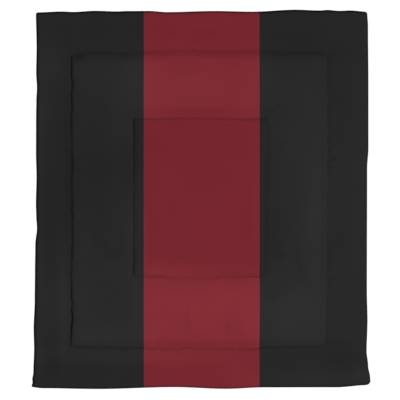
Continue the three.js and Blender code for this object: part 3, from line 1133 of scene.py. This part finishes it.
def make_thread(name, has_band):
    """Smoky quilting thread, a little shiny, with fine plies in its colour and relief. It looks
    charcoal, and dark red on the band."""
    material, tree, shader = new_material(name, {
        "Specular IOR Level": 0.3,
        "Roughness": 0.55,
        "Sheen Weight": 0.05,
    })
    place = add_node(tree, "ShaderNodeTexCoord").outputs["Object"]
    colour = THREAD_GREY
    if has_band:
        colour = mix_colours(tree, band_share(tree, place), THREAD_GREY, THREAD_RED)
    plies = noise_of(tree, place, **PLY_NOISE)
    shade = factor_of(tree, plies, **PLY_CHANGE)
    tree.links.new(shaded(tree, colour, shade), shader.inputs["Base Color"])
    tree.links.new(relief_of(tree, plies, **TWIST_RELIEF), shader.inputs["Normal"])
    return material


def fit_piece(piece, materials, replaced=None):
    """Gives a piece its materials and tells the frame what it rides on and stands for."""
    for material in materials:
        piece.data.materials.append(material)
    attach(piece, "root")
    if replaced:
        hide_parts(replaced)


comforter, face_grid = make_comforter()
back_grid = surface_of(CUT_X, CUT_Y, back_height(CUT_X, CUT_Y))
fit_piece(comforter, [make_cloth("banded_face", True), make_cloth("plain_back", False)], "comforter")

fit_piece(make_stitches("face_stitches", face_grid, 1), [make_thread("face_thread", True)])
fit_piece(make_stitches("back_stitches", back_grid, -1), [make_thread("back_thread", False)])


# The stage: a white floor that curves up into a round white wall and doesn't light the comforter, a
# soft room that is brightest overhead, and one far soft lamp at the right, a little towards the foot.
# The lamp's angles are in degrees from +X and from the floor, sizes are in metres and power in watts.
FLOOR_DEPTH = 1 * MM
FLOOR_RADIUS = 24.0
COVE_RADIUS = 6.0
WALL_HEIGHT = 20.0
COVE_STEPS = 12
WALL_SIDES = 96
ROOM_LIGHT = 1.43
ROOM_DIMMING = 1.5
LAMP_DIRECTION = -22
LAMP_HEIGHT = 26
LAMP_DISTANCE = 18.0
LAMP_DIAMETER = 6.4
LAMP_POWER = 1240


def make_floor():
    """A plain white floor just under the comforter, with a wall around it: a profile that runs up a
    quarter circle and then straight up, carried round the middle."""
    rise = np.linspace(0, math.pi / 2, COVE_STEPS)
    outs = np.append(FLOOR_RADIUS + COVE_RADIUS * np.sin(rise), FLOOR_RADIUS + COVE_RADIUS)
    ups = np.append(COVE_RADIUS * (1 - np.cos(rise)), WALL_HEIGHT) - FLOOR_DEPTH
    turn = 2 * math.pi * np.arange(WALL_SIDES) / WALL_SIDES
    x, y = np.outer(outs, np.cos(turn)), np.outer(outs, np.sin(turn))
    vertices = np.stack([x, y, np.tile(ups[:, None], WALL_SIDES)], axis=-1)
    index = np.arange(x.size).reshape(x.shape)
    wall = tube_cells(index).tolist()
    floor = new_object("floor", vertices.reshape(-1, 3), [index[0].tolist(), *wall])
    material, _, _ = new_material("white_floor", {
        "Base Color": (0.05, 0.05, 0.05, 1),
        "Roughness": 0.9,
        "Specular IOR Level": 0.1,
        "Emission Color": (1, 1, 1, 1),
        "Emission Strength": 1.03,
    })
    floor.data.materials.append(material)
    floor.visible_diffuse = False
    floor.visible_glossy = False
    floor.visible_shadow = False


def make_room():
    """A room that is brightest overhead, by a power of the height of the direction, and black below
    the horizon."""
    world = bpy.data.worlds.new("white_room")
    world.use_nodes = True
    tree = world.node_tree
    direction = add_node(tree, "ShaderNodeTexCoord").outputs["Generated"]
    upward = add_node(tree, "ShaderNodeSeparateXYZ", {0: direction}).outputs[2]
    share = work_out(tree, "POWER", work_out(tree, "MAXIMUM", upward, 0.0), ROOM_DIMMING)
    strength = work_out(tree, "MULTIPLY", share, ROOM_LIGHT)
    tree.links.new(strength, tree.nodes["Background"].inputs["Strength"])
    tree.nodes["Background"].inputs["Color"].default_value = (1, 1, 1, 1)
    bpy.context.scene.world = world


def make_far_lamp():
    """A broad round lamp so far off that its light is nearly even all over the comforter."""
    lamp = bpy.data.lights.new("far_lamp", "AREA")
    lamp.shape = "DISK"
    lamp.size = LAMP_DIAMETER
    lamp.energy = LAMP_POWER
    made = bpy.data.objects.new("far_lamp", lamp)
    height, direction = math.radians(LAMP_HEIGHT), math.radians(LAMP_DIRECTION)
    made.location = (
        LAMP_DISTANCE * math.cos(height) * math.cos(direction),
        LAMP_DISTANCE * math.cos(height) * math.sin(direction),
        LAMP_DISTANCE * math.sin(height),
    )
    made.rotation_euler = (-made.location).to_track_quat("-Z", "Y").to_euler()
    made.visible_camera = False
    bpy.context.scene.collection.objects.link(made)


make_floor()
make_room()
make_far_lamp()
bpy.context.scene.view_settings.view_transform = "Standard"


# The camera looks straight down. The picture is 400 by 400 pixels, and the middle of the sewn size
# lies at a pixel a little off its own. The lens and its sensor are in millimetres.
PICTURE_PIXELS = 400
PIXEL_SIZE = 5.796 * MM
SEWN_MIDDLE_PIXEL = (201.66, 199.44)
LENS = 100.0
SENSOR = 36.0


def make_camera():
    """A camera above the picture's middle, as high as makes a pixel its real size at the edge."""
    lens = bpy.data.cameras.new("overhead")
    lens.lens = LENS
    lens.sensor_width = SENSOR
    camera = bpy.data.objects.new("overhead", lens)
    half = PICTURE_PIXELS / 2
    camera.location = (
        (half - SEWN_MIDDLE_PIXEL[0]) * PIXEL_SIZE - MIDDLE_X,
        (SEWN_MIDDLE_PIXEL[1] - half) * PIXEL_SIZE - MIDDLE_Y,
        PICTURE_PIXELS * PIXEL_SIZE * LENS / SENSOR + EDGE_HEIGHT,
    )
    bpy.context.scene.collection.objects.link(camera)
    bpy.context.scene.camera = camera


make_camera()
